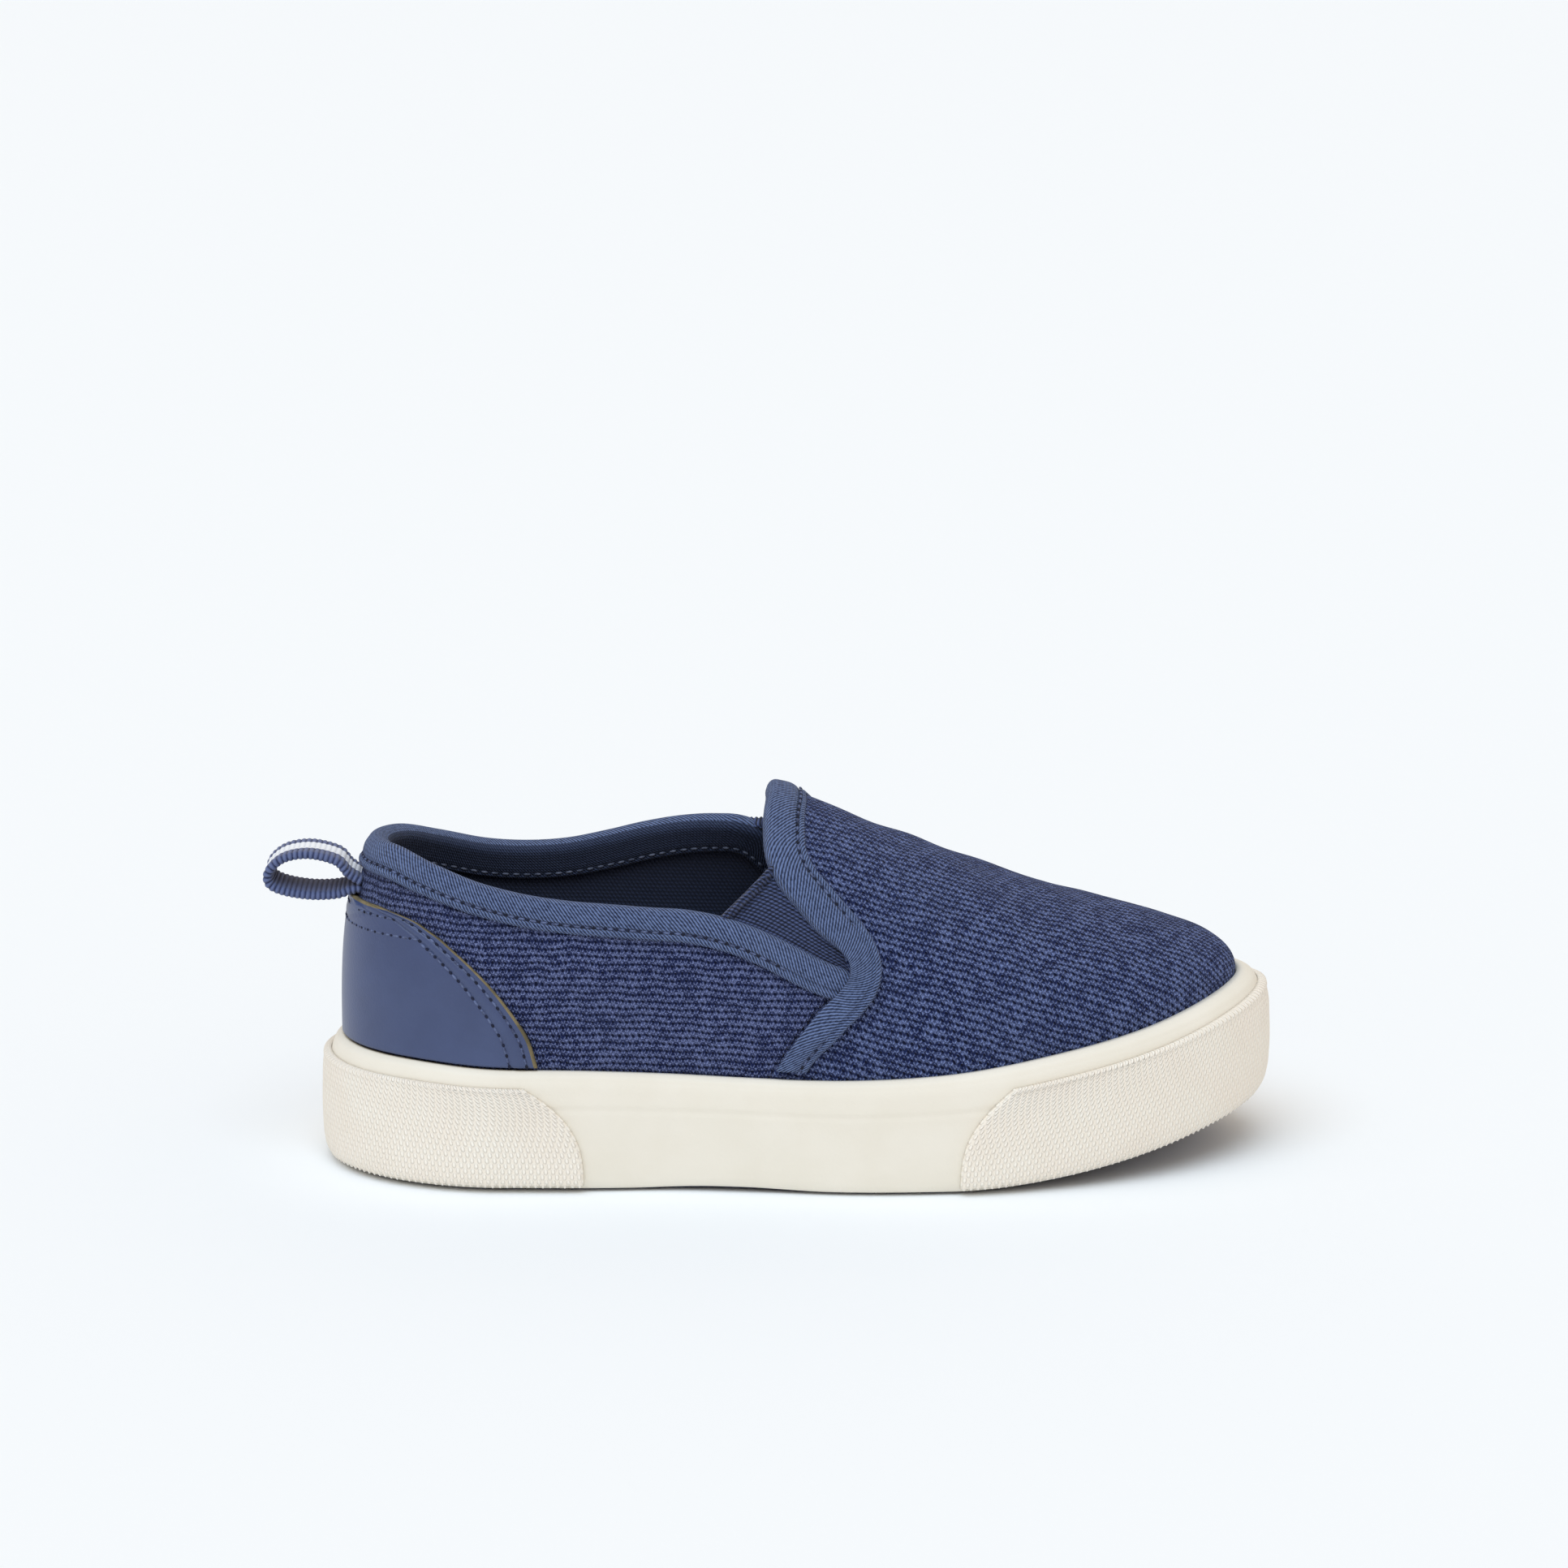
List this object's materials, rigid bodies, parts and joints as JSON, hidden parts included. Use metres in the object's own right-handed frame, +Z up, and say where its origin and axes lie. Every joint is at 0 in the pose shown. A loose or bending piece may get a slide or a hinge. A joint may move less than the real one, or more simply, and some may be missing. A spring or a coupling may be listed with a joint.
{
  "type": "slip-on sneaker",
  "caption": "Child's low slip-on sneaker with a knitted upper, elastic gores, folded tape edges, heel pull loop and a cream rubber cup sole with knurled toe and heel guards.",
  "frame": {"origin": "on the ground under the middle of the heel's tread, on the sole's long axis", "axes": "+X from heel to toe, +Y to the inner (medial) side, +Z up"},
  "size_m": [0.1875, 0.0724, 0.0704],
  "materials": {
    "outsole_rubber": "matte navy rubber tread",
    "cream_rubber": "smooth cream rubber",
    "guard_rubber": "knurled cream rubber",
    "lining": "dark navy lining cloth",
    "knit": "coarse navy knit",
    "counter": "smooth navy coated leather",
    "tape": "navy twill tape",
    "elastic": "ribbed navy elastic",
    "ribbon": "navy grosgrain ribbon with a pale middle stripe"
  },
  "bodies": {
    "root": {"outsole": "outsole_rubber", "midsole": "cream_rubber", "heel_bumper": "guard_rubber", "toe_bumper": "guard_rubber", "insole": "lining", "upper": "knit", "heel_counter": "counter", "collar_binding": "tape", "throat_binding": "tape", "gore_lateral": "elastic", "gore_medial": "elastic", "heel_loop": "ribbon"}
  },
  "joints": []
}
